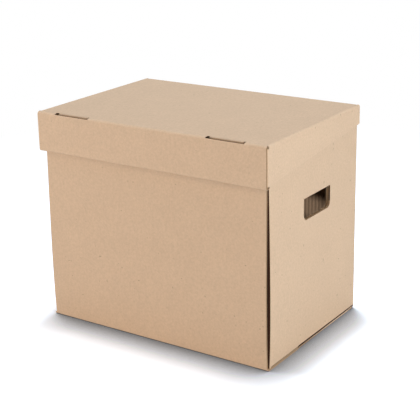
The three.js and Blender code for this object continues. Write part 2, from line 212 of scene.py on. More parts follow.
@dataclass(frozen=True)
class KraftPaper:
    """Brown recycled kraft liner or medium, as it leaves the corrugator: uncoated, matt, with fibre flecks.

    The eye gets a warm even brown, faint washboard lines where the flutes press through, soft clouds from
    uneven fibre, small dark and pale flecks, and now and then a fleck of bark.
    """

    name: str
    colour: str
    washboard_mm: float = 0.012
    pitch_mm: float = 6.4
    tooth_mm: float = 0.03
    tooth_strength: float = 0.8
    roughness: float = 0.86
    specular: float = 0.22
    ior: float = 1.5
    cloud_depth: float = 0.018
    streak_depth: float = 0.016
    felt_depth: float = 0.075
    octave_weight: float = 0.55
    clouds: Grain = Grain(38, 3)
    fibres: Grain = Grain(2.6, 2, (1.0, 0.10, 1.0))
    mottle: Grain = Grain(5.5, 4)
    felt: Grain = Grain(3.2, 5)
    tooth: Grain = Grain(0.9, 3)
    specks: Spots = Spots(Grain(1.5, 1), 0.70, 0.80, 0.82)
    bark: Spots = Spots(Grain(5.0, 0), 0.815, 0.87, 0.712)
    pale: Spots = Spots(Grain(1.9, 1, (1.0, 0.45, 1.0)), 0.71, 0.82, 1.06)

    def build(self) -> bpy.types.Material:
        """Builds the node material. UV holds metres across and along the flutes.

        The colour is the paper's own, times a product of noises around 1. The height is a sine across the
        flutes, sin(2 pi u / pitch), with the tooth of the fibres on it.

        Returns:
            The finished material.
        """
        material = bpy.data.materials.new(self.name)
        material.use_nodes = True
        tree = material.node_tree
        tree.nodes.clear()
        uv = add_node(tree, "ShaderNodeUVMap", {"uv_map": UV_MAP}).outputs["UV"]
        place = add_node(tree, "ShaderNodeTexCoord").outputs["Object"]
        tone = self._shade(tree, self._noise(tree, place, self.clouds), self.cloud_depth)
        for vector, grain, depth in (
            (uv, self.fibres, self.streak_depth),
            (place, self.mottle, self.streak_depth),
            (place, self.felt, self.felt_depth),
        ):
            tone = self._times(tree, tone, self._shade(tree, self._noise(tree, vector, grain), depth))
        for vector, spots in ((place, self.specks), (place, self.bark), (uv, self.pale)):
            tone = self._times(tree, tone, self._spots(tree, vector, spots))
        colour = add_node(
            tree, "ShaderNodeVectorMath", {"operation": "SCALE"}, in0=linear(self.colour)[:3], Scale=tone
        ).outputs[0]
        shader = add_node(
            tree,
            "ShaderNodeBsdfPrincipled",
            Base_Color=colour,
            Roughness=self.roughness,
            IOR=self.ior,
            Specular_IOR_Level=self.specular,
            Normal=self._relief(tree, uv, place),
        )
        add_node(tree, "ShaderNodeOutputMaterial", Surface=shader.outputs[0])
        return material

    def _relief(
        self, tree: bpy.types.NodeTree, uv: bpy.types.NodeSocket, place: bpy.types.NodeSocket
    ) -> bpy.types.NodeSocket:
        """Washboard lines across the flutes, with the tooth of the fibres on them.

        Args:
            tree: the material's tree.
            uv: metres across and along the flutes.
            place: place on the object.

        Returns:
            The bent normal.
        """
        across = add_node(tree, "ShaderNodeSeparateXYZ", Vector=uv).outputs["X"]
        per_metre = 2 * math.pi / (self.pitch_mm * MM)
        turns = add_node(
            tree, "ShaderNodeMath", {"operation": "MULTIPLY"}, in0=across, in1=per_metre
        ).outputs[0]
        wave = add_node(tree, "ShaderNodeMath", {"operation": "SINE"}, in0=turns).outputs[0]
        ridges = add_node(
            tree, "ShaderNodeBump", Strength=1.0, Distance=self.washboard_mm * MM, Height=wave
        ).outputs["Normal"]
        return add_node(
            tree,
            "ShaderNodeBump",
            Strength=self.tooth_strength,
            Distance=self.tooth_mm * MM,
            Height=self._noise(tree, place, self.tooth),
            Normal=ridges,
        ).outputs["Normal"]

    def _noise(
        self, tree: bpy.types.NodeTree, vector: bpy.types.NodeSocket, grain: Grain
    ) -> bpy.types.NodeSocket:
        """One noise pattern, stretched along the axes.

        Args:
            tree: the material's tree.
            vector: the coordinates that it follows.
            grain: its size, octaves and stretch.

        Returns:
            The noise, as a factor around a half.
        """
        mapped = add_node(tree, "ShaderNodeMapping", Vector=vector, Scale=grain.stretch).outputs[0]
        return add_node(
            tree,
            "ShaderNodeTexNoise",
            Vector=mapped,
            Scale=1 / (grain.size_mm * MM),
            Detail=grain.octaves,
            Roughness=self.octave_weight,
        ).outputs[0]

    def _shade(
        self, tree: bpy.types.NodeTree, factor: bpy.types.NodeSocket, depth: float
    ) -> bpy.types.NodeSocket:
        """Turns a factor around a half into a brightness from 1 - depth to 1 + depth.

        Args:
            tree: the material's tree.
            factor: the noise.
            depth: how far the brightness goes to either side of 1.

        Returns:
            The brightness.
        """
        return add_node(
            tree,
            "ShaderNodeMapRange",
            Value=factor,
            From_Min=NOISE_LOW,
            From_Max=NOISE_HIGH,
            To_Min=1 - depth,
            To_Max=1 + depth,
        ).outputs[0]

    def _spots(
        self, tree: bpy.types.NodeTree, vector: bpy.types.NodeSocket, spots: Spots
    ) -> bpy.types.NodeSocket:
        """Turns the peaks of a noise into small spots of another brightness.

        Args:
            tree: the material's tree.
            vector: the coordinates that the noise follows.
            spots: the spots.

        Returns:
            The brightness, which is 1 between the spots.
        """
        return add_node(
            tree,
            "ShaderNodeMapRange",
            Value=self._noise(tree, vector, spots.grain),
            From_Min=spots.start,
            From_Max=spots.full,
            To_Min=1.0,
            To_Max=spots.brightness,
        ).outputs[0]

    def _times(
        self, tree: bpy.types.NodeTree, a: bpy.types.NodeSocket, b: bpy.types.NodeSocket
    ) -> bpy.types.NodeSocket:
        """Multiplies two factors."""
        return add_node(tree, "ShaderNodeMath", {"operation": "MULTIPLY"}, in0=a, in1=b).outputs[0]


class Finishes:
    """The papers of the board, built once and shared by every panel."""

    def __init__(self) -> None:
        """Builds the paper materials."""
        self.outer = KraftPaper("kraft_liner_outside", "#d0b598").build()
        self.lid_outer = KraftPaper("kraft_liner_lid", "#d3b89b").build()
        self.inner = KraftPaper("kraft_liner_inside", "#cbae8e", washboard_mm=0.14).build()
        self.medium = KraftPaper("fluting_medium", "#b99a78", washboard_mm=0.0).build()
        # Painted shade: dark paper that stands for the shade in the slits between boards
        self.painted_shade = KraftPaper("kraft_liner_painted_shade", "#3d2416", washboard_mm=0.0).build()

    def papers(self, body: str) -> list[bpy.types.Material]:
        """The materials in the order of Sheet, then Shade.

        Args:
            body: the body of the panel; the lid's outer paper is painted a little paler.

        Returns:
            The four materials.
        """
        outer = self.lid_outer if body == "lid" else self.outer
        return [outer, self.inner, self.medium, self.painted_shade]


@dataclass(frozen=True)
class BoardMake:
    """Single-wall board: thickness over all, paper thickness, flute pitch, and how finely it is meshed.

    crest_inset is how far the medium's crest lies inside the board's face, in papers.
    """

    thickness: float
    paper: float = PAPER
    pitch: float = 6.4 * MM
    crest_inset: float = 1.35
    steps_per_flute: int = 10
    coarse: float = 22 * MM
    least_columns: int = 8

    @property
    def wave(self) -> float:
        """Height of the medium's wave to either side of the middle."""
        return self.thickness / 2 - self.paper * self.crest_inset

    @property
    def liner_offset(self) -> float:
        """Distance of a liner's middle from the board's middle."""
        return (self.thickness - self.paper) / 2


class Midline:
    """Middle line of a bent board in the plane of its section: straight runs joined by arcs.

    An arc starts r tan(turn / 2) before its corner, where r is its radius, and its points are the start
    turned about the arc's centre by equal angles.
    """

    def __init__(self, corners: list[tuple[float, float]], radii: list[float], steps: int = 9) -> None:
        """Works out the line.

        Args:
            corners: the line's ends and the corners where it turns.
            radii: radius of the arc at each inner corner.
            steps: facets of each arc.
        """
        points = [np.array([corners[0]], float)]
        ahead = [self._unit(np.subtract(corners[1], corners[0]))[None]]
        for i, radius in enumerate(radii, start=1):
            before = self._unit(np.subtract(corners[i], corners[i - 1]))
            after = self._unit(np.subtract(corners[i + 1], corners[i]))
            turn = math.atan2(before[0] * after[1] - before[1] * after[0], float(before @ after))
            start = np.array(corners[i]) - before * radius * math.tan(abs(turn) / 2)
            left = np.array([-before[1], before[0]]) * math.copysign(1, turn)
            centre = start + left * radius
            angles = np.linspace(0, turn, steps + 1)
            c, s = np.cos(angles), np.sin(angles)
            spin = np.stack([np.stack([c, -s], -1), np.stack([s, c], -1)], -2)
            points.append(centre + spin @ (start - centre))
            ahead.append(spin @ before)
        points.append(np.array([corners[-1]], float))
        ahead.append(self._unit(np.subtract(corners[-1], corners[-2]))[None])
        line = np.concatenate(points)
        keep = np.r_[True, np.linalg.norm(np.diff(line, axis=0), axis=1) > THIN]
        self.line = line[keep]
        direction = np.concatenate(ahead)[keep]
        self.normal = np.stack([-direction[:, 1], direction[:, 0]], 1)
        self.knots = np.r_[0, np.cumsum(np.linalg.norm(np.diff(self.line, axis=0), axis=1))]

    @staticmethod
    def _unit(v: np.ndarray) -> np.ndarray:
        """A vector's direction."""
        return v / np.linalg.norm(v)

    @property
    def length(self) -> float:
        """Length of the line."""
        return float(self.knots[-1])

    def at(self, s: np.ndarray, offset: np.ndarray) -> np.ndarray:
        """Points beside the line: line(s) + normal(s) * offset.

        Args:
            s: distances along the line.
            offset: distances to the line's left.

        Returns:
            The points' two coordinates in the last axis.
        """
        parts = []
        for axis in (0, 1):
            on = np.interp(s, self.knots, self.line[:, axis])
            beside = np.interp(s, self.knots, self.normal[:, axis])
            parts.append(on + beside * offset)
        return np.stack(parts, -1)


@dataclass
class Hole:
    """A hole in a board between two width positions, with its lower and upper edge along the path."""

    start: float
    end: float
    low: ArrayFunction
    high: ArrayFunction
    breaks: tuple[float, ...] = ()


def level(value: float) -> ArrayFunction:
    """An edge that is the same all along the width.

    Args:
        value: the edge's distance along the path.

    Returns:
        The edge, as a function of the width position.
    """

    def edge(t: np.ndarray) -> np.ndarray:
        """The same distance everywhere."""
        return np.full_like(t, value)

    return edge


def polyline(points: list[tuple[float, float]]) -> ArrayFunction:
    """An edge that runs straight between given points.

    Args:
        points: pairs of a width position and a distance along the path.

    Returns:
        The edge, as a function of the width position.
    """
    widths, paths = np.array(sorted(points)).T

    def edge(t: np.ndarray) -> np.ndarray:
        """The distance between the two nearest points, in proportion."""
        return np.interp(t, widths, paths)

    return edge


def corner_fall(t: np.ndarray, middle: float, half: float, radius: float) -> np.ndarray:
    """How far an edge with two round corners falls back from its straight run.

    It is r - sqrt(r^2 - d^2), where r is the radius and d is how far a position lies inside the corner.

    Args:
        t: width positions.
        middle: middle of the edge.
        half: half length of the edge.
        radius: radius of its corners.

    Returns:
        The fall at each position.
    """
    into = np.clip(np.abs(t - middle) - (half - radius), 0, radius)
    return radius - np.sqrt(np.maximum(radius**2 - into**2, 0))


def between_liners(depth: np.ndarray, board: float) -> np.ndarray:
    """Whether a depth below a board's face, d, is in the medium: liner < d < board - liner."""
    return (depth > LINER_DEPTH) & (depth < board - LINER_DEPTH)


def side_name(side: int) -> str:
    """The name of a side: right for 1, left for -1."""
    return "right" if side > 0 else "left"


@dataclass
class Board:
    """A piece of board: a middle line carried along a width, cut to an outline and pierced by holes.

    Its surface is P(s, t) = midline(s) + width axis * t, offset along the midline's normal by the liner's
    distance, or by a sine of the distance across the flutes for the medium.
    """

    plane: Plane
    midline: Midline
    start: float
    end: float
    flutes: Flutes
    low: ArrayFunction | None = None
    high: ArrayFunction | None = None
    breaks: tuple[float, ...] = ()
    holes: tuple[Hole, ...] = ()
    outer_is_left: bool = True

    def sheets(self, make: BoardMake) -> list[SheetMesh]:
        """Builds the three papers.

        Args:
            make: the board's thickness, paper and flute pitch.

        Returns:
            For each sheet its points, its UV points, its quads and which paper it is.
        """
        out = []
        for sheet in Sheet:
            for grid_s, grid_t in self._grids(make, sheet):
                out.append(self._sheet(make, sheet, grid_s, grid_t))
        return out

    def _sheet(self, make: BoardMake, sheet: Sheet, grid_s: np.ndarray, grid_t: np.ndarray) -> SheetMesh:
        """One paper over one grid: P(s, t), with the medium off the middle by h sin(2 pi across / pitch).

        Args:
            make: the board's thickness, paper and flute pitch.
            sheet: which paper.
            grid_s: distances along the path.
            grid_t: positions along the width.

        Returns:
            Its points, its UV points, its quads and which paper it is.
        """
        along_path = self.flutes is Flutes.ALONG_PATH
        across, along = (grid_t, grid_s) if along_path else (grid_s, grid_t)
        if sheet is Sheet.MEDIUM:
            offset = make.wave * np.sin(2 * np.pi * across / make.pitch)
        else:
            left = (sheet is Sheet.OUTER) == self.outer_is_left
            offset = np.full_like(grid_s, make.liner_offset if left else -make.liner_offset)
        flat = self.midline.at(grid_s, offset)
        points = np.zeros(grid_s.shape + (3,))
        first, second, width = self.plane.value
        points[..., first] = flat[..., 0]
        points[..., second] = flat[..., 1]
        points[..., width] = grid_t
        uv = np.stack([across, along], -1)
        index = np.arange(grid_s.size).reshape(grid_s.shape)
        quads = np.stack([index[:-1, :-1], index[1:, :-1], index[1:, 1:], index[:-1, 1:]], -1)
        return points.reshape(-1, 3), uv.reshape(-1, 2), quads.reshape(-1, 4), sheet

    def _rows(self, step: float) -> np.ndarray:
        """Distances along the path at which a grid has a row: bends, corners of holes and even steps.

        Args:
            step: longest distance between two rows.

        Returns:
            The distances, from small to large.
        """
        rows = set(np.round(self.midline.knots, DIGITS))
        for hole in self.holes:
            ends = np.array([hole.start, hole.end])
            rows |= set(np.round(hole.low(ends), DIGITS)) | set(np.round(hole.high(ends), DIGITS))
        count = max(1, math.ceil(self.midline.length / step))
        rows |= set(np.round(np.linspace(0, self.midline.length, count + 1), DIGITS))
        return np.array(sorted(rows))

    def _grids(self, make: BoardMake, sheet: Sheet) -> list[tuple[np.ndarray, np.ndarray]]:
        """Grids that cover the outline without its holes.

        The width is cut at every break and every hole's end. Between two cuts a grid runs from one edge
        to the next, with the rows that lie between them, so that its edge rows follow the outline.

        Args:
            make: the board's flute pitch and mesh sizes.
            sheet: which paper; the medium has fine steps across its flutes.

        Returns:
            For each grid its distances along the path and its positions along the width.
        """
        fine = make.pitch / make.steps_per_flute
        medium = sheet is Sheet.MEDIUM
        step_t = fine if medium and self.flutes is Flutes.ALONG_PATH else make.coarse
        step_s = fine if medium and self.flutes is Flutes.ALONG_CREASE else make.coarse
        low = self.low or level(0.0)
        high = self.high or level(self.midline.length)
        cuts = {self.start, self.end, *self.breaks}
        for hole in self.holes:
            cuts |= {hole.start, hole.end, *hole.breaks}
        rows = self._rows(step_s)
        edges = np.array(sorted(t for t in cuts if self.start <= t <= self.end))
        grids = []
        for a, b in zip(edges[:-1], edges[1:]):
            if b - a < THIN:
                continue
            least = make.least_columns if b - a < make.coarse else 1
            columns = np.linspace(a, b, max(least, math.ceil((b - a) / step_t)) + 1)
            inner = np.clip(columns, a + NUDGE, b - NUDGE)
            middle = np.array([(a + b) / 2])
            crossed = [hole for hole in self.holes if hole.start <= middle[0] <= hole.end]
            bounds = [low(inner)]
            for hole in sorted(crossed, key=lambda h: float(h.low(middle)[0])):
                bounds += [hole.low(inner), hole.high(inner)]
            bounds.append(high(inner))
            for bottom, top in zip(bounds[0::2], bounds[1::2]):
                if np.max(top - bottom) < THIN:
                    continue
                kept = rows[(rows > bottom.max() + ROW_CLEARANCE) & (rows < top.min() - ROW_CLEARANCE)]
                between = [np.full_like(columns, row) for row in kept]
                grid_s = np.stack([bottom, *between, np.maximum(top, bottom)])
                grids.append((grid_s, np.broadcast_to(columns, grid_s.shape)))
        return grids


@dataclass
class Liner(Board):
    """A single liner on its own, where a crease bends only the outer paper or a cut edge is pressed shut."""

    def sheets(self, make: BoardMake) -> list[SheetMesh]:
        """The paper along the middle line itself.

        Args:
            make: the board's paper and mesh sizes.

        Returns:
            The one sheet, in as many grids as its outline needs.
        """
        flat = BoardMake(thickness=make.paper, paper=make.paper, coarse=make.coarse)
        return [sheet for sheet in super().sheets(flat) if sheet[-1] is Sheet.OUTER]


@dataclass
class Panel:
    """One panel of the blank as it shows: its boards, the body that it rides on and the node it replaces.

    shape bends the finished points, and the shade mask tells from the middles of the faces, before that bend,
    which ones get painted shade: the dark paper that stands for the shade in a slit. joint names two bodies
    and the points between which a crease passes from the first to the second.
    """

    name: str
    body: str
    nodes: tuple[str, ...]
    boards: list[Board]
    slot: str = "outside_board"
    shape: ArrayFunction | None = None
    joint: tuple[str, str, Vector, Vector] | None = None
    painted_shade: ArrayFunction | None = None

    def build(self, make: BoardMake, finishes: Finishes) -> bpy.types.Object:
        """Makes the panel's mesh, gives the papers their thickness and ties it to its body; a panel with a
        joint is only baked in place and tied to no body.

        Args:
            make: the board's thickness, paper and flute pitch.
            finishes: the paper materials.

        Returns:
            The finished object.
        """
        mesh = self._mesh(make)
        for paper in finishes.papers(self.body):
            mesh.materials.append(paper)
        piece = bpy.data.objects.new(self.name, mesh)
        bpy.context.scene.collection.objects.link(piece)
        thicken = piece.modifiers.new("paper", "SOLIDIFY")
        thicken.thickness = make.paper
        thicken.offset = 0.0
        self._apply(piece)
        piece.data.shade_smooth()
        piece.data.set_sharp_from_angle(angle=SHARP_ANGLE)
        if self.joint:
            first, second, start, end = self.joint
            tuple(start)
            tuple(end)
            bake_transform(piece)
        else:
            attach(piece, self.body)
        if self.nodes:
            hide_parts(*self.nodes)
        LOG.info("%s: %d faces", self.name, len(piece.data.polygons))
        return piece

    def _mesh(self, make: BoardMake) -> bpy.types.Mesh:
        """Joins the sheets of all boards into one mesh with its UV map and paper indices.

        Args:
            make: the board's thickness, paper and flute pitch.

        Returns:
            The mesh, with papers that have no thickness yet.
        """
        points, uvs, quads, papers = [], [], [], []
        count = 0
        for board in self.boards:
            for co, uv, faces, sheet in board.sheets(make):
                points.append(co)
                uvs.append(uv)
                quads.append(faces + count)
                papers.append(np.full(len(faces), sheet.value))
                count += len(co)
        co = np.concatenate(points)
        uv = np.concatenate(uvs)
        faces = np.concatenate(quads)
        paper = np.concatenate(papers).astype(np.int32)
        # Faces that the mask picks get the dark paper of painted shade
        if self.painted_shade:
            paper[self.painted_shade(co[faces].mean(axis=1))] = Shade.IN_SLIT.value
        if self.shape:
            co = self.shape(co)
        mesh = bpy.data.meshes.new(self.name)
        mesh.from_pydata(co, [], faces)
        mesh.polygons.foreach_set("material_index", paper)
        layer = mesh.uv_layers.new(name=UV_MAP)
        layer.data.foreach_set("uv", uv[faces.ravel()].astype(np.float32).ravel())
        work = bmesh.new()
        work.from_mesh(mesh)
        bmesh.ops.remove_doubles(work, verts=work.verts, dist=WELD)
        bmesh.ops.dissolve_degenerate(work, edges=work.edges, dist=THIN)
        work.to_mesh(mesh)
        work.free()
        mesh.update()
        return mesh

    def _apply(self, piece: bpy.types.Object) -> None:
        """Applies the piece's modifiers to its mesh.

        Args:
            piece: the object with its modifiers.
        """
        bpy.context.view_layer.update()
        evaluated = piece.evaluated_get(bpy.context.evaluated_depsgraph_get())
        finished = bpy.data.meshes.new_from_object(evaluated)
        piece.modifiers.clear()
        piece.data = finished
        finished.name = self.name


class Layout:
    """Places of the panels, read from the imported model."""

    def __init__(self, joints: list[dict]) -> None:
        """Reads the nodes' boxes and the joints' places.

        Args:
            joints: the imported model's joints.
        """
        places = {joint["name"]: joint["pos_m"] for joint in joints}
        front_low, front_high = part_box("front_outer_panel")
        self.board = front_high.y - front_low.y
        self.front = front_low.y
        self.front_half = front_high.x
        self.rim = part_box("front_rim")[1].z
        self.front_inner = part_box("front_inner_panel")[0].y
        self.front_inner_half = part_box("front_inner_panel")[1].x
        self.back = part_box("back_panel")[1].y
        self.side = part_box("right_side_outer")[1].x
        self.side_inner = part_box("right_side_inner")[0].x
        self.side_inner_front, self.side_inner_back = (p.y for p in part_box("right_side_inner"))
        self.side_front, self.side_back = (p.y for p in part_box("right_side_outer"))
        self.base_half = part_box("base_panel")[1].x
        self.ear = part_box("right_front_ear")[0].y
        self.ear_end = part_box("right_front_ear")[0].x
        self.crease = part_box("front_rim")[1].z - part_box("front_rim")[0].z
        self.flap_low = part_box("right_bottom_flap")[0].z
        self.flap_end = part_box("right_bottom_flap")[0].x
        self.gap = self.flap_low - self.board
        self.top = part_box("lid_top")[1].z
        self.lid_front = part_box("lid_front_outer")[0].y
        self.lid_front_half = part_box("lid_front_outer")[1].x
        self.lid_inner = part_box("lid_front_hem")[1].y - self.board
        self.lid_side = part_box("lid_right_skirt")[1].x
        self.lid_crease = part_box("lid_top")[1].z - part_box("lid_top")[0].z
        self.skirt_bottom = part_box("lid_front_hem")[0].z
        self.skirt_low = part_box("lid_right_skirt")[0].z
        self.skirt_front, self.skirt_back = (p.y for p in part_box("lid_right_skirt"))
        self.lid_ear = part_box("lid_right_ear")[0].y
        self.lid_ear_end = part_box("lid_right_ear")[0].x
        self.flap_hinge = Vector(places["right_flap_hinge"])
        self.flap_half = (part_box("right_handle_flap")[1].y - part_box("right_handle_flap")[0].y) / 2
        self.inside_radius = self.crease - self.board / 2
        self.lid_radius = self.lid_crease - self.board / 2
        self.seam = self.gap / 2
        self.hair = self.gap / HAIRS_IN_GAP


@dataclass
class Walls:
    """The container under the lid: base, back, double front, double sides and the flaps on the base.

    The slit values say where the papers are painted dark as shade: how far in from the base's side edge, how
    low in the base's thickness, how high on a bottom flap's fold, how far from an ear's fold, and how far
    into the channel beside a hand hole.
    """

    at: Layout
    recess: float = 1.5 * MM
    recess_start: float = 91 * MM
    recess_slant: float = 4 * MM
    outline_jump: float = 0.1 * MM
    foot_half: float = 17 * MM
    foot_low: float = 0.6 * MM
    front_feet: float = 115 * MM
    side_feet: float = 70 * MM
    hand_height: float = 35.5 * MM
    hand_radius: float = 9 * MM
    inner_margin: float = 1 * MM
    inner_rise: float = 4 * MM
    flap_angle: float = math.radians(125)
    flap_fold_radius: float = 0.4 * MM
    ear_taper: float = 12 * MM
    flap_taper: float = 14 * MM
    front_bow: float = 1.4 * MM
    front_edge_bow: float = 1.0 * MM
    side_bow: float = 1.9 * MM
    bow_skew: float = 0.65
    edge_power: int = 4
    fold_power: float = 2.5
    base_slit: float = 6 * MM
    base_slit_low: float = 2.4 * MM
    flap_slit_rear: float = 3.2 * MM
    flap_slit_front: float = 1.8 * MM
    ear_slit: float = 1.3 * MM
    channel_slit: float = 6 * MM

    def panels(self) -> list[Panel]:
        """All panels of the container, in the order of the fold-up.

        Returns:
            The panels.
        """
        made = [self.base(), self.back(), self.front_outer(), self.front_rim(), self.front_inner()]
        for side in (1, -1):
            made += [
                self.ear(side),
                self.side_outer(side),
                self.bottom_flap(side),
                self.side_rim(side),
                self.side_inner(side),
                self.handle_flap(side),
                self.flap_crease(side),
            ]
        return made

    def below_lid(self, z: np.ndarray) -> np.ndarray:
        """Share of a wall's bow at a height: sin(pi v^k), where v runs from the fold to the lid's hem.

        The skew k is below 1, so the wall stands out furthest in its lower half.

        Args:
            z: heights.

        Returns:
            The share, 0 at both ends and 1 between them.
        """
        low = self.at.flap_low + self.at.crease
        v = np.clip((z - low) / (self.at.skirt_bottom - low), 0, 1)
        return np.sin(np.pi * v**self.bow_skew)

    def bowed_front(self, co: np.ndarray) -> np.ndarray:
        """The outer front panel stands off, most at its free upright edges.

        It moves out by (a + b u^n) times the bow's share, where u is 1 at the edges and 0 in the middle,
        and n is the edge power.

        Args:
            co: the flat panel's points.

        Returns:
            The bowed points.
        """
        u = np.abs(co[:, 0]) / self.at.front_half
        out = co.copy()
        amount = self.front_bow + self.front_edge_bow * u**self.edge_power
        out[:, 1] -= amount * self.below_lid(co[:, 2])
        return out

    def bowed_side(self, co: np.ndarray) -> np.ndarray:
        """A side wall bellies out at its front fold and less towards the back.

        It moves out by c (1 - w)^n times the bow's share, where w runs from the ear to the back, and n is
        the fold power.

        Args:
            co: the flat wall's points.

        Returns:
            The bowed points.
        """
        w = np.clip((co[:, 1] - self.at.ear) / (self.at.back - self.at.ear), 0, 1)
        out = co.copy()
        amount = self.side_bow * (1 - w) ** self.fold_power
        out[:, 0] += np.sign(co[:, 0]) * amount * self.below_lid(co[:, 2])
        return out

    def side_foot_places(self) -> tuple[float, float]:
        """Where the front and the rear foot of a side's inner board stand."""
        middle = (self.at.side_inner_front + self.at.side_inner_back) / 2
        return middle - self.side_feet, middle + self.side_feet

    def foot_slot(self, foot: float, low: float, high: float) -> Hole:
        """The slot for a foot that stands along the width.

        Args:
            foot: middle of the foot.
            low: where the slot starts along the path.
            high: where it ends.

        Returns:
            The slot.
        """
        reach = self.foot_half + self.at.gap
        return Hole(foot - reach, foot + reach, level(low), level(high))

    def base(self) -> Panel:
        """The base with its two creases, stepped side edges and the slots of the feet.

        Returns:
            The panel.
        """
        at = self.at
        half = at.board / 2
        line = Midline(
            [
                (at.front + half, at.crease + at.seam),
                (at.front + half, half),
                (at.back - half, half),
                (at.back - half, at.crease + at.seam),
            ],
            [at.inside_radius, at.inside_radius],
        )

        def along(y: float) -> float:
            """Distance along the path at a place on the base."""
            return line.length / 2 - (at.back - at.front) / 2 + y - at.front

        step = along(at.front + self.recess_start)
        inner = at.base_half - self.recess
        edge = at.base_half
        high = polyline(
            [
                (-edge, step),
                (-inner, step + self.recess_slant),
                (-inner + self.outline_jump, line.length),
                (inner - self.outline_jump, line.length),
                (inner, step + self.recess_slant),
                (edge, step),
            ]
        )
        front_slot = (along(at.front_inner - at.gap), along(at.front_inner + at.board + at.gap))
        holes = [self.foot_slot(x, *front_slot) for x in (-self.front_feet, self.front_feet)]
        reach = self.foot_half + at.gap
        for side in (1, -1):
            faces = sorted((side * (at.side_inner - at.gap), side * (at.side_inner + at.board + at.gap)))
            holes += [
                Hole(*faces, level(along(y - reach)), level(along(y + reach)))
                for y in self.side_foot_places()
            ]
        board = Board(
            Plane.YZ,
            line,
            -edge,
            edge,
            Flutes.ALONG_PATH,
            high=high,
            breaks=(-inner, -inner + self.outline_jump, inner - self.outline_jump, inner),
            holes=tuple(holes),
            outer_is_left=False,
        )

        def painted_shade(centres: np.ndarray) -> np.ndarray:
            """Painted shade on the upper part of the base's side edge, behind its step: |x| > edge - slit and
            low < z < flap.

            Args:
                centres: middles of the faces.

            Returns:
                For each face, whether it gets the painted shade of the slit.
            """
            x, y, z = np.abs(centres[:, 0]), centres[:, 1], centres[:, 2]
            upper = (z > self.base_slit_low) & (z < at.flap_low)
            return upper & (y > at.front + self.recess_start) & (x > edge - self.base_slit)

        return Panel("base_board", "container", ("base_panel",), [board], painted_shade=painted_shade)

    def back(self) -> Panel:
        """The single back wall with the two upright creases.

        Returns:
            The panel.
        """
        at = self.at
        half = at.board / 2
        tail = at.back - at.crease - at.seam
        line = Midline(
            [
                (-at.side + half, tail),
                (-at.side + half, at.back - half),
                (at.side - half, at.back - half),
                (at.side - half, tail),
            ],
            [at.inside_radius, at.inside_radius],
        )
        top = at.top - at.crease - at.hair
        board = Board(Plane.XY, line, at.crease + at.seam, top, Flutes.ALONG_CREASE)
        return Panel("back_board", "container", ("back_panel",), [board])

    def front_outer(self) -> Panel:
        """The outer front panel, standing on the base's front crease.

        Returns:
            The panel.
        """
        at = self.at
        y = at.front + at.board / 2
        line = Midline([(y, at.crease + at.seam), (y, at.rim - at.crease - at.seam)], [])
        board = Board(Plane.YZ, line, -at.front_half, at.front_half, Flutes.ALONG_PATH)
        nodes = ("front_outer_panel",)
        return Panel("front_outer_board", "container", nodes, [board], shape=self.bowed_front)

    def front_rim(self) -> Panel:
        """The roll-over at the top of the front wall.

        Returns:
            The panel.
        """
        at = self.at
        half = at.board / 2
        low = at.rim - at.crease - at.seam
        line = Midline(
            [
                (at.front + half, low),
                (at.front + half, at.rim - half),
                (at.front_inner + half, at.rim - half),
                (at.front_inner + half, low),
            ],
            [at.inside_radius, at.inside_radius],
        )
        board = Board(Plane.YZ, line, -at.front_half, at.front_half, Flutes.ALONG_PATH)
        return Panel("front_rim_board", "container", ("front_rim",), [board])

    def footed(self, feet: tuple[float, float], bottom: float) -> tuple[ArrayFunction, tuple[float, ...]]:
        """Lower edge of an inner panel, with feet, in path distances from the feet's own lower end.

        Args:
            feet: middles of the feet across the panel.
            bottom: height of the edge between the feet.

        Returns:
            The edge and the positions where it steps.
        """
        breaks = tuple(x for foot in feet for x in (foot - self.foot_half, foot + self.foot_half))

        def edge(t: np.ndarray) -> np.ndarray:
            """Zero on a foot, the panel's own lower edge elsewhere."""
            on_foot = np.min([np.abs(t - foot) for foot in feet], axis=0) < self.foot_half
            return np.where(on_foot, 0.0, bottom - self.foot_low)

        return edge, breaks

    def front_inner(self) -> Panel:
        """The inner front panel with its feet in the base.

        Returns:
            The panel.
        """
        at = self.at
        y = at.front_inner + at.board / 2
        line = Midline([(y, self.foot_low), (y, at.rim - at.crease - at.seam)], [])
        low, breaks = self.footed((-self.front_feet, self.front_feet), at.flap_low)
        board = Board(
            Plane.YZ,
            line,
            -at.front_inner_half,
            at.front_inner_half,
            Flutes.ALONG_PATH,
            low=low,
            breaks=breaks,
            outer_is_left=False,
        )
        return Panel("front_inner_board", "container", ("front_inner_panel",), [board], "inside_board")

    def ear(self, side: int) -> Panel:
        """The ear of a side wall with the round fold of the front corner.

        Args:
            side: 1 for right, -1 for left.

        Returns:
            The panel.
        """
        at = self.at
        half = at.board / 2
        outer = side * (at.side - half)
        line = Midline(
            [
                (outer, at.ear + at.crease + at.seam),
                (outer, at.ear + half),
                (side * at.ear_end, at.ear + half),
            ],
            [at.inside_radius],
        )
        top = at.rim - at.board - at.gap
        end = line.length
        mid_ear = end - (at.side - at.ear_end) / 2
        high = polyline(
            [
                (at.flap_low, mid_ear),
                (at.flap_low + self.ear_taper, end),
                (top - self.ear_taper, end),
                (top, mid_ear),
            ]
        )
        board = Board(
            Plane.XY,
            line,
            at.flap_low,
            top,
            Flutes.ALONG_CREASE,
            high=high,
            breaks=(at.flap_low + self.ear_taper, top - self.ear_taper),
            outer_is_left=side > 0,
        )

        def painted_shade(centres: np.ndarray) -> np.ndarray:
            """Painted shade on the ear in the slit beside the front panel: |x| < side - slit, and y within
            the ear's board.
            """
            return (np.abs(centres[:, 0]) < at.side - self.ear_slit) & (centres[:, 1] < at.ear + at.board)

        name = side_name(side)
        return Panel(
            f"{name}_ear_board",
            "container",
            (f"{name}_front_ear",),
            [board],
            "inside_board",
            shape=self.bowed_side,
            painted_shade=painted_shade,
        )

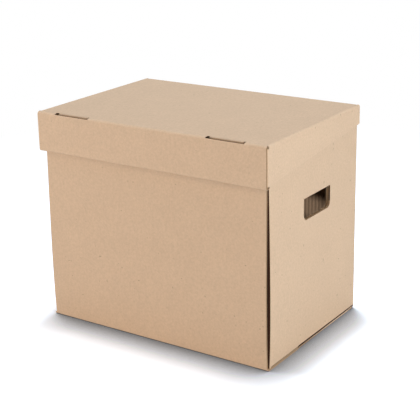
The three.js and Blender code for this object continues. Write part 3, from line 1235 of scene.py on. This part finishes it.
    def hand_hole(self, grow: float, rise: float, base: float) -> Hole:
        """The hand hole: a straight top edge and two round lower corners.

        Args:
            grow: how much wider and deeper the hole is than the outer one.
            rise: how much higher its top is.
            base: height at which the panel's path starts.

        Returns:
            The hole, as a lower edge made of two quarter circles and a straight run, and a level upper edge.
        """
        middle = self.at.flap_hinge.y
        half = self.at.flap_half + self.at.gap + grow
        radius = self.hand_radius
        top = self.at.flap_hinge.z + rise - base
        bottom = self.at.flap_hinge.z - self.hand_height - grow - base

        def low(t: np.ndarray) -> np.ndarray:
            """The bottom of the hole, higher by the fall of its corners."""
            return bottom + corner_fall(t, middle, half, radius)

        corners_start = (middle - half + radius, middle + half - radius)
        return Hole(middle - half, middle + half, low, level(top), corners_start)

    def side_outer(self, side: int) -> Panel:
        """The outer board of a side wall with its hand hole.

        Args:
            side: 1 for right, -1 for left.

        Returns:
            The panel.
        """
        at = self.at
        x = side * (at.side - at.board / 2)
        bottom = at.flap_low + at.crease + at.seam
        line = Midline([(x, bottom), (x, at.rim - at.crease - at.seam)], [])
        hole = self.hand_hole(0, 0, bottom)
        board = Board(
            Plane.XZ,
            line,
            at.side_front - at.seam,
            at.side_back + at.seam,
            Flutes.ALONG_PATH,
            holes=(hole,),
            outer_is_left=side < 0,
        )

        def painted_shade(centres: np.ndarray) -> np.ndarray:
            """Painted shade on the medium beside the hole's rear end: from half a corner before it to the
            slit's depth.

            Args:
                centres: middles of the faces.

            Returns:
                For each face, whether it gets the painted shade of the slit.
            """
            medium = between_liners(at.side - np.abs(centres[:, 0]), at.board)
            from_end = centres[:, 1] - hole.end
            beside = (from_end > -self.hand_radius / 2) & (from_end < self.channel_slit)
            above = centres[:, 2] - (at.flap_hinge.z - self.hand_height)
            return medium & beside & (above > 0) & (above < self.hand_height + self.inner_rise)

        name = side_name(side)
        return Panel(
            f"{name}_side_outer_board",
            "container",
            (f"{name}_side_outer",),
            [board],
            shape=self.bowed_side,
            painted_shade=painted_shade,
        )

    def bottom_flap(self, side: int) -> Panel:
        """The flap folded in from a side wall onto the base, with the slots of the feet.

        Args:
            side: 1 for right, -1 for left.

        Returns:
            The panel.
        """
        at = self.at
        half = at.board / 2
        x = side * (at.side - half)
        line = Midline(
            [
                (x, at.flap_low + at.crease + at.seam),
                (x, at.flap_low + half),
                (side * at.flap_end, at.flap_low + half),
            ],
            [at.inside_radius],
        )
        end = line.length

        def along(inward: float) -> float:
            """Distance along the path at a distance in from the side wall's outer face."""
            return end - (at.side - at.flap_end) + inward

        shoulder = along(at.board + at.seam)
        front_corner = at.side_inner_front + self.flap_taper
        back_corner = at.side_back - self.flap_taper
        high = polyline(
            [
                (at.side_front, shoulder),
                (at.side_inner_front, shoulder),
                (front_corner, end),
                (back_corner, end),
                (at.side_back, shoulder),
            ]
        )
        depth = at.side - at.side_inner
        slot = (along(depth - at.board - at.gap), along(depth + at.gap))
        board = Board(
            Plane.XZ,
            line,
            at.side_front,
            at.side_back,
            Flutes.ALONG_PATH,
            high=high,
            breaks=(at.side_inner_front, front_corner, back_corner),
            holes=tuple(self.foot_slot(y, *slot) for y in self.side_foot_places()),
            outer_is_left=side > 0,
        )

        def painted_shade(centres: np.ndarray) -> np.ndarray:
            """Painted shade on the lowest part of the fold, deeper behind the base's step: z < flap + depth
            at the side.

            Args:
                centres: middles of the faces.

            Returns:
                For each face, whether it gets the painted shade of the slit.
            """
            behind = centres[:, 1] > at.front + self.recess_start
            deep = np.where(behind, self.flap_slit_rear, self.flap_slit_front)
            return (np.abs(centres[:, 0]) > at.side - at.crease) & (centres[:, 2] < at.flap_low + deep)

        name = side_name(side)
        return Panel(
            f"{name}_bottom_flap_board",
            "container",
            (f"{name}_bottom_flap",),
            [board],
            "inside_board",
            painted_shade=painted_shade,
        )

    def side_rim(self, side: int) -> Panel:
        """The roll-over at the top of a side wall.

        Args:
            side: 1 for right, -1 for left.

        Returns:
            The panel.
        """
        at = self.at
        half = at.board / 2
        outer = side * (at.side - half)
        inner = side * (at.side_inner + half)
        low = at.rim - at.crease - at.seam
        line = Midline(
            [(outer, low), (outer, at.rim - half), (inner, at.rim - half), (inner, low)],
            [at.inside_radius, at.inside_radius],
        )
        board = Board(
            Plane.XZ, line, at.side_inner_front, at.side_back, Flutes.ALONG_PATH, outer_is_left=side < 0
        )
        name = side_name(side)
        return Panel(f"{name}_side_rim_board", "container", (f"{name}_side_rim",), [board])

    def side_inner(self, side: int) -> Panel:
        """The inner board of a side wall, with its hand hole and feet.

        Args:
            side: 1 for right, -1 for left.

        Returns:
            The panel.
        """
        at = self.at
        x = side * (at.side_inner + at.board / 2)
        line = Midline([(x, self.foot_low), (x, at.rim - at.crease - at.seam)], [])
        low, breaks = self.footed(self.side_foot_places(), at.flap_low + at.board + at.gap)
        board = Board(
            Plane.XZ,
            line,
            at.side_inner_front,
            at.side_inner_back,
            Flutes.ALONG_PATH,
            low=low,
            breaks=breaks,
            holes=(self.hand_hole(self.inner_margin, self.inner_rise, self.foot_low),),
            outer_is_left=side > 0,
        )
        name = side_name(side)
        nodes = (f"{name}_side_inner",)
        return Panel(f"{name}_side_inner_board", "container", nodes, [board], "inside_board")

    def flap_pose(self, side: int) -> tuple[np.ndarray, np.ndarray, np.ndarray]:
        """Where a flap of a hand hole stands, pushed in by its angle from hanging.

        Args:
            side: 1 for right, -1 for left.

        Returns:
            Hinge point, direction along the flap and direction out of its outer face, each as (x, z).
        """
        sine, cosine = math.sin(self.flap_angle), math.cos(self.flap_angle)
        hinge = np.array([side * self.at.flap_hinge.x, self.at.flap_hinge.z])
        along = np.array([-side * sine, -cosine])
        out = np.array([side * cosine, -sine])
        return hinge, along, out

    def handle_flap(self, side: int) -> Panel:
        """The flap of a hand hole, pushed in, with round corners at its free edge.

        Args:
            side: 1 for right, -1 for left.

        Returns:
            The panel.
        """
        at = self.at
        hinge, along, out = self.flap_pose(side)
        start = hinge + out * at.board / 2 + along * at.gap
        end = hinge + out * at.board / 2 + along * (self.hand_height - at.gap)
        line = Midline([tuple(start), tuple(end)], [])
        middle = at.flap_hinge.y
        half = at.flap_half
        radius = self.hand_radius

        def high(t: np.ndarray) -> np.ndarray:
            """The flap's free edge, shorter by the fall of its corners."""
            return line.length - corner_fall(t, middle, half, radius)

        board = Board(
            Plane.XZ,
            line,
            middle - half,
            middle + half,
            Flutes.ALONG_PATH,
            high=high,
            breaks=(middle - half + radius, middle + half - radius),
            outer_is_left=side > 0,
        )
        name = side_name(side)
        return Panel(f"{name}_handle_flap_board", f"{name}_flap", (f"{name}_handle_flap",), [board])

    def flap_crease(self, side: int) -> Panel:
        """The outer liner that bends from the side wall round the top of the hand hole onto the flap.

        Args:
            side: 1 for right, -1 for left.

        Returns:
            The panel, with a joint between the container and the flap half way between its bend and its end;
            it is tied to neither.
        """
        at = self.at
        hinge, along, out = self.flap_pose(side)
        inset = PAPER / 2
        wall = np.array([side * (at.side - inset), at.flap_hinge.z + at.seam])
        corner = np.array([wall[0], at.flap_hinge.z - at.gap])
        root = hinge + out * (at.board - inset) + along * 2 * at.gap
        line = Midline(
            [tuple(wall + np.array([0, at.gap])), tuple(corner), tuple(root)], [self.flap_fold_radius]
        )
        middle = at.flap_hinge.y
        half = at.flap_half
        board = Liner(Plane.XZ, line, middle - half, middle + half, Flutes.ALONG_PATH)
        split = (corner + root) / 2
        step = (root - corner) / np.linalg.norm(root - corner) * BLEND_HALF
        start, end = (Vector((split[0] + d * step[0], middle, split[1] + d * step[1])) for d in (-1, 1))
        name = side_name(side)
        joint = ("container", f"{name}_flap", start, end)
        return Panel(f"{name}_flap_crease", "container", (), [board], joint=joint)


@dataclass
class Lid:
    """The attached lid: top, double front with its lock tabs, and two tapered side skirts.

    tab_shade is how far below the top a tab's front face is painted dark as shade in its slot, and slot_slit
    how far from a slot the medium of the top is painted dark as shade.
    """

    at: Layout
    skirt_rear: float = 31 * MM
    slot_back: float = 8.3 * MM
    slot_turn: float = math.radians(40)
    slot_slit: float = 6 * MM
    tab_inset: float = 69.4 * MM
    tab_half: float = 28.5 * MM
    play_left: float = 5.5 * MM
    play_right: float = 3.5 * MM
    relief: float = 1.5 * MM
    root: float = 26 * MM
    jog_rise: float = 10 * MM
    nose_drop: float = 0.4 * MM
    tab_air: float = 1.9 * MM
    tab_shade: float = 2.1 * MM
    ear_shoulder: float = 32 * MM
    ear_lift: float = 2 * MM
    sag: float = 0.8 * MM

    def panels(self) -> list[Panel]:
        """All panels of the lid, and the crease that joins it to the back wall.

        Returns:
            The panels.
        """
        made = [self.lid_top(), self.front_outer(), self.hem(), self.front_inner(), self.rear_crease()]
        for side in (1, -1):
            made += [self.skirt(side), self.ear(side)]
        return made

    def tab_middles(self) -> tuple[float, float]:
        """Middles of the left and the right lock tab."""
        middle = self.at.lid_side - self.tab_inset
        return -middle, middle

    def sagged(self, co: np.ndarray) -> np.ndarray:
        """The top sags a little between its creases.

        It drops by d (1 - u^2)(1 - v^2), where u and v run from 0 in the middle to 1 at the creases.

        Args:
            co: the flat top's points.

        Returns:
            The sagged points.
        """
        at = self.at
        u = np.clip(co[:, 0] / at.side, -1, 1)
        middle = (at.back + at.lid_front) / 2
        v = np.clip((co[:, 1] - middle) / (at.back - middle - at.crease), -1, 1)
        out = co.copy()
        out[:, 2] -= self.sag * (1 - u**2) * (1 - v**2)
        return out

    def lid_top(self) -> Panel:
        """The top with its soft front crease and the two lock slots.

        Returns:
            The panel.
        """
        at = self.at
        half = at.board / 2
        line = Midline(
            [
                (at.lid_front + half, at.top - at.lid_crease - at.seam),
                (at.lid_front + half, at.top - half),
                (at.back - at.crease, at.top - half),
            ],
            [at.lid_radius],
        )

        def along(y: float) -> float:
            """Distance along the path at a place on the flat top."""
            return line.length - (at.back - at.crease) + y

        body = at.lid_side - at.crease - at.seam
        narrow = along(at.skirt_front - at.seam)
        front = at.seam + at.lid_radius * self.slot_turn
        slots = tuple(
            Hole(
                middle - self.tab_half - self.play_left,
                middle + self.tab_half + self.play_right,
                level(front),
                level(along(at.lid_front + self.slot_back)),
            )
            for middle in self.tab_middles()
        )

        def high(t: np.ndarray) -> np.ndarray:
            """The whole depth between the skirts, and only the front strip beside them."""
            return np.where(np.abs(t) > body, narrow, line.length)

        def painted_shade(centres: np.ndarray) -> np.ndarray:
            """Painted shade on the medium round the slots; round the crease its depth is counted from the
            crease's axis.

            Args:
                centres: middles of the faces.

            Returns:
                For each face, whether it gets the painted shade of the slit.
            """
            x, y, z = centres.T
            beside = [(x > hole.start - self.slot_slit) & (x < hole.end + self.slot_slit) for hole in slots]
            near = np.any(beside, axis=0) & (y < at.lid_front + self.slot_back + self.slot_slit)
            axis_y, axis_z = at.lid_front + at.lid_crease, at.top - at.lid_crease
            depth = np.where(y < axis_y, at.lid_crease - np.hypot(y - axis_y, z - axis_z), at.top - z)
            return near & between_liners(depth, at.board)

        board = Board(
            Plane.YZ,
            line,
            -at.lid_front_half,
            at.lid_front_half,
            Flutes.ALONG_PATH,
            high=high,
            breaks=(-body, body),
            holes=slots,
        )
        return Panel("lid_top_board", "lid", ("lid_top",), [board], shape=self.sagged, painted_shade=painted_shade)

    def front_outer(self) -> Panel:
        """The outer board of the lid's front.

        Returns:
            The panel.
        """
        at = self.at
        y = at.lid_front + at.board / 2
        bottom = at.skirt_bottom + at.crease + at.seam
        top = at.top - at.lid_crease - at.seam
        line = Midline([(y, bottom), (y, top)], [])
        board = Board(Plane.YZ, line, -at.lid_front_half, at.lid_front_half, Flutes.ALONG_PATH)
        return Panel("lid_front_outer_board", "lid", ("lid_front_outer",), [board])

    def hem(self) -> Panel:
        """The rolled lower edge of the lid's front.

        Returns:
            The panel.
        """
        at = self.at
        half = at.board / 2
        low = at.skirt_bottom + half
        high = at.skirt_bottom + at.crease + at.seam
        line = Midline(
            [
                (at.lid_front + half, high),
                (at.lid_front + half, low),
                (at.lid_inner + half, low),
                (at.lid_inner + half, high),
            ],
            [at.inside_radius, at.inside_radius],
        )
        board = Board(
            Plane.YZ, line, -at.lid_front_half, at.lid_front_half, Flutes.ALONG_PATH, outer_is_left=False
        )
        return Panel("lid_front_hem_board", "lid", ("lid_front_hem",), [board])

    def front_inner(self) -> Panel:
        """The inner board of the lid's front with the two tabs that stand up into the slots.

        Returns:
            The panel, with the tabs' cut tops pressed shut.
        """
        at = self.at
        half = at.board / 2
        y = at.lid_inner + half
        bottom = at.skirt_bottom + at.crease + at.seam
        line = Midline([(y, bottom), (y, at.top - at.board - at.gap)], [])
        root = at.top - self.root
        wide = self.tab_half + self.relief
        middles = self.tab_middles()

        def high(t: np.ndarray) -> np.ndarray:
            """The panel's upper edge, cut down to the tabs' roots round each tab."""
            notch = np.min([np.abs(t - middle) for middle in middles], axis=0) < wide
            return np.where(notch, root - at.board - bottom, line.length)

        panel = Board(
            Plane.YZ,
            line,
            -at.side,
            at.side,
            Flutes.ALONG_PATH,
            high=high,
            breaks=tuple(x for middle in middles for x in (middle - wide, middle + wide)),
            outer_is_left=False,
        )
        front = at.lid_front + at.board + self.tab_air + half
        tip = at.top - self.nose_drop
        bent = Midline(
            [
                (y, root - at.board),
                (y, root),
                (front, root + self.jog_rise),
                (front, at.top - self.tab_shade),
                (front, tip),
            ],
            [at.inside_radius, at.inside_radius, at.inside_radius],
        )
        across = Midline([(front - half, tip), (front + half, tip)], [])
        tabs, tops = [], []
        for middle in middles:
            ends = (middle - self.tab_half, middle + self.tab_half)
            tabs.append(Board(Plane.YZ, bent, *ends, Flutes.ALONG_PATH, outer_is_left=False))
            tops.append(Liner(Plane.YZ, across, *ends, Flutes.ALONG_PATH))

        def painted_shade(centres: np.ndarray) -> np.ndarray:
            """Painted shade above the jog: on the panel's front between the tabs, and on a tab's front below
            its lit top.

            Args:
                centres: middles of the faces.

            Returns:
                For each face, whether it gets the painted shade of the slit.
            """
            x, y, z = centres.T
            on_tab = np.min([np.abs(x - middle) for middle in middles], axis=0) < self.tab_half
            behind = (y < at.lid_inner + half) & ~on_tab
            tab_face = on_tab & (y < front) & (z < at.top - self.tab_shade)
            return (z > root + self.jog_rise) & (behind | tab_face)

        return Panel(
            "lid_front_inner_board",
            "lid",
            ("lid_front_inner",),
            [panel, *tabs, *tops],
            "inside_board",
            painted_shade=painted_shade,
        )

    def skirt(self, side: int) -> Panel:
        """A tapered side skirt with its crease to the top.

        Args:
            side: 1 for right, -1 for left.

        Returns:
            The panel.
        """
        at = self.at
        half = at.board / 2
        x = side * (at.lid_side - half)
        line = Midline(
            [
                (x, at.skirt_low),
                (x, at.top - half),
                (side * (at.lid_side - at.crease - at.seam), at.top - half),
            ],
            [at.inside_radius],
        )
        rear = at.top - self.skirt_rear - at.skirt_low
        board = Board(
            Plane.XZ,
            line,
            at.skirt_front,
            at.skirt_back,
            Flutes.ALONG_CREASE,
            low=polyline([(at.skirt_front, 0.0), (at.skirt_back, rear)]),
            outer_is_left=side < 0,
        )
        name = side_name(side)
        return Panel(f"lid_{name}_skirt_board", "lid", (f"lid_{name}_skirt",), [board])

    def ear(self, side: int) -> Panel:
        """The ear of a skirt, between the two front boards and under the tab's jog.

        Args:
            side: 1 for right, -1 for left.

        Returns:
            The panel.
        """
        at = self.at
        half = at.board / 2
        x = side * (at.lid_side - half)
        line = Midline(
            [
                (x, at.lid_ear + at.crease + at.gap),
                (x, at.lid_ear + half),
                (side * at.lid_ear_end, at.lid_ear + half),
            ],
            [at.inside_radius],
        )
        end = line.length
        fold = end - (at.lid_side - at.lid_ear_end)
        top = at.top - at.lid_crease - at.gap
        shoulder = at.top - self.root - at.board
        high = polyline(
            [
                (at.skirt_low, end - self.ear_lift),
                (at.skirt_low + self.ear_lift, end),
                (shoulder, end),
                (shoulder + half, fold + self.ear_shoulder),
                (top, fold + at.crease + half),
            ]
        )
        board = Board(
            Plane.XY,
            line,
            at.skirt_low,
            top,
            Flutes.ALONG_PATH,
            high=high,
            breaks=(at.skirt_low + self.ear_lift, shoulder, shoulder + half),
            outer_is_left=side > 0,
        )
        name = side_name(side)
        return Panel(f"lid_{name}_ear_board", "lid", (f"lid_{name}_ear",), [board], "inside_board")

    def rear_crease(self) -> Panel:
        """The bent board between the back wall and the top.

        Returns:
            The panel, with a joint between the wall and the lid half way round; it is tied to neither.
        """
        at = self.at
        half = at.board / 2
        # An even count of facets puts one row half way round, where the two bodies meet
        line = Midline(
            [
                (at.back - half, at.top - at.crease - 2 * at.hair),
                (at.back - half, at.top - half),
                (at.back - at.crease + at.hair, at.top - half),
            ],
            [at.inside_radius],
            steps=10,
        )
        reach = at.side - at.board
        board = Board(Plane.YZ, line, -reach, reach, Flutes.ALONG_PATH, outer_is_left=False)
        middle = Vector((0, at.back - at.crease / 2, at.top - at.crease / 2))
        step = Vector((0, -1, 1)).normalized() * BLEND_HALF
        joint = ("container", "lid", middle - step, middle + step)
        return Panel("lid_rear_crease", "container", (), [board], joint=joint)


@dataclass(frozen=True)
class Softbox:
    """One soft studio light, aimed at a point: its size in metres and its power in watts."""

    name: str
    place: tuple[float, float, float]
    target: tuple[float, float, float]
    size: float
    power: float
    colour: str

    def build(self) -> None:
        """Adds the area light to the scene."""
        data = bpy.data.lights.new(self.name, "AREA")
        data.shape = "DISK"
        data.size = self.size
        data.energy = self.power
        data.color = linear(self.colour)[:3]
        light = bpy.data.objects.new(self.name, data)
        place = Vector(self.place)
        aim = Vector(self.target) - place
        light.matrix_world = Matrix.Translation(place) @ aim.to_track_quat("-Z", "Y").to_matrix().to_4x4()
        bpy.context.scene.collection.objects.link(light)


@dataclass
class Studio:
    """White floor, even surroundings, soft lights and the camera of the photograph.

    The floor is paint that is lifted to white for the camera. Near the container it turns to the shade
    colour, as far as less of the sky is open in the lean's direction within reach: fully at shade_full,
    and not at all from shade_none on. Far away it fades to plain white.
    """

    ambient: float = 0.31
    white: str = "#ffffff"
    floor_half: float = 30.0
    floor_paint: str = "#f2f2f2"
    floor_lift: str = "#b9cfe6"
    floor_glow: float = 0.03
    white_from: float = 0.55
    white_to: float = 1.3
    shade_colour: str = "#363b42"
    shade_lean: tuple[float, float, float] = (-0.35, 0.5, 0.79)
    shade_reach: float = 0.07
    shade_samples: int = 16
    shade_full: float = 0.27
    shade_none: float = 0.93
    camera_place: tuple[float, float, float] = (0.9879, -1.4439, 0.7685)
    yaw: float = math.radians(33.868)
    pitch: float = math.radians(17.140)
    roll: float = math.radians(-1.072)
    lens: float = 96.95
    sensor: float = 36.0
    shift: float = -0.07
    lights: tuple[Softbox, ...] = (
        Softbox("overhead", (-0.15, 0.43, 2.6), (0.0, 0.0, 0.0), 0.4, 30.1, "#e0eeff"),
        Softbox("key", (2.36, -2.82, 3.10), (0.205, 0.011, 0.22), 0.25, 34.3, "#ffd7a5"),
        Softbox("right_soft", (2.3, -0.25, 0.8), (0.2, 0.0, 0.2), 0.9, 30.4, "#e3edf8"),
        Softbox("left_low", (-3.05, -1.39, 0.72), (-0.2, 0.0, 0.22), 0.14, 75.3, "#fff7f5"),
    )

    def build(self) -> None:
        """Builds the studio."""
        for light in self.lights:
            light.build()
        self._world()
        self._floor()
        self._camera()
        bpy.context.scene.view_settings.view_transform = "Standard"

    def _world(self) -> None:
        """White to the camera, a plain grey light to the object."""
        world = bpy.data.worlds.new("studio")
        bpy.context.scene.world = world
        world.use_nodes = True
        tree = world.node_tree
        tree.nodes.clear()
        camera_ray = add_node(tree, "ShaderNodeLightPath").outputs["Is Camera Ray"]
        light, white = (
            add_node(tree, "ShaderNodeBackground", Color=linear(self.white), Strength=strength).outputs[0]
            for strength in (self.ambient, 1.0)
        )
        mix = add_node(tree, "ShaderNodeMixShader", in0=camera_ray, in1=light, in2=white)
        add_node(tree, "ShaderNodeOutputWorld", Surface=mix.outputs[0])

    def _floor(self) -> None:
        """A pale floor: to the camera it glows just to white, keeps the object's soft shadow, and has painted
        shade near the container.
        """
        half = self.floor_half
        mesh = bpy.data.meshes.new("floor")
        corners = [(-half, -half, 0), (half, -half, 0), (half, half, 0), (-half, half, 0)]
        mesh.from_pydata(corners, [], [(0, 1, 2, 3)])
        floor = bpy.data.objects.new("floor", mesh)
        bpy.context.scene.collection.objects.link(floor)
        material = bpy.data.materials.new("studio_floor")
        material.use_nodes = True
        tree = material.node_tree
        tree.nodes.clear()
        camera_ray = add_node(tree, "ShaderNodeLightPath").outputs["Is Camera Ray"]
        paint = add_node(tree, "ShaderNodeBsdfDiffuse", Color=linear(self.floor_paint)).outputs[0]
        near = self._near_floor(tree)
        far = add_node(tree, "ShaderNodeEmission", Color=linear(self.white), Strength=1.0).outputs[0]
        place = add_node(tree, "ShaderNodeTexCoord").outputs["Object"]
        away = add_node(tree, "ShaderNodeVectorMath", {"operation": "LENGTH"}, in0=place).outputs["Value"]
        fade = add_node(
            tree, "ShaderNodeMapRange", Value=away, From_Min=self.white_from, From_Max=self.white_to
        ).outputs[0]
        seen = add_node(tree, "ShaderNodeMixShader", in0=fade, in1=near, in2=far).outputs[0]
        mix = add_node(tree, "ShaderNodeMixShader", in0=camera_ray, in1=paint, in2=seen)
        add_node(tree, "ShaderNodeOutputMaterial", Surface=mix.outputs[0])
        mesh.materials.append(material)
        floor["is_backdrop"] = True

    def _near_floor(self, tree: bpy.types.NodeTree) -> bpy.types.NodeSocket:
        """The floor round the container, as the camera sees it: paint and its lift, each turning to painted
        shade near the container, and a faint glow.

        Args:
            tree: the floor material's tree.

        Returns:
            The sum of the three shaders.
        """
        x, y, z = Vector(self.shade_lean).normalized()
        lean = add_node(tree, "ShaderNodeCombineXYZ", X=x, Y=y, Z=z).outputs[0]
        open_sky = add_node(
            tree,
            "ShaderNodeAmbientOcclusion",
            {"samples": self.shade_samples},
            Distance=self.shade_reach,
            Normal=lean,
        ).outputs["AO"]
        clear = add_node(
            tree, "ShaderNodeMapRange", Value=open_sky, From_Min=self.shade_full, From_Max=self.shade_none
        ).outputs[0]
        layers = []
        for tone in (self.floor_paint, self.floor_lift):
            shaded = add_node(
                tree,
                "ShaderNodeMix",
                {"data_type": "RGBA"},
                Factor=clear,
                in6=linear(self.shade_colour),
                in7=linear(tone),
            ).outputs[2]
            layers.append(add_node(tree, "ShaderNodeBsdfDiffuse", Color=shaded).outputs[0])
        glow = add_node(
            tree, "ShaderNodeEmission", Color=linear(self.white), Strength=self.floor_glow
        ).outputs[0]
        lifted = add_node(tree, "ShaderNodeAddShader", in0=layers[0], in1=layers[1]).outputs[0]
        return add_node(tree, "ShaderNodeAddShader", in0=lifted, in1=glow).outputs[0]

    def _camera(self) -> None:
        """The photograph's viewpoint: yaw, pitch and roll about the camera's own place."""
        right = Vector((math.cos(self.yaw), math.sin(self.yaw), 0))
        ahead = Vector(
            (
                -math.sin(self.yaw) * math.cos(self.pitch),
                math.cos(self.yaw) * math.cos(self.pitch),
                -math.sin(self.pitch),
            )
        )
        up = right.cross(ahead)
        c, s = math.cos(self.roll), math.sin(self.roll)
        turn = Matrix((right * c + up * s, up * c - right * s, -ahead)).transposed()
        data = bpy.data.cameras.new("camera")
        data.sensor_width = self.sensor
        data.lens = self.lens
        data.shift_y = self.shift
        camera = bpy.data.objects.new("camera", data)
        camera.matrix_world = Matrix.Translation(self.camera_place) @ turn.to_4x4()
        bpy.context.scene.collection.objects.link(camera)
        bpy.context.scene.camera = camera


def corners(bounds: tuple[Vector, Vector]) -> list[list[float]]:
    low, high = bounds
    return [[float(v) for v in low], [float(v) for v in high]]


def main() -> None:
    """Builds the studio and every panel of the container."""
    logging.basicConfig(level=logging.INFO, format="%(message)s")
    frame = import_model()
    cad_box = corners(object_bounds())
    Studio().build()
    layout = Layout(frame["joints"])
    make = BoardMake(thickness=layout.board)
    finishes = Finishes()
    for panel in Walls(layout).panels() + Lid(layout).panels():
        panel.build(make, finishes)
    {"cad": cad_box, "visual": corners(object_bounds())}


if __name__ == "__main__":
    main()
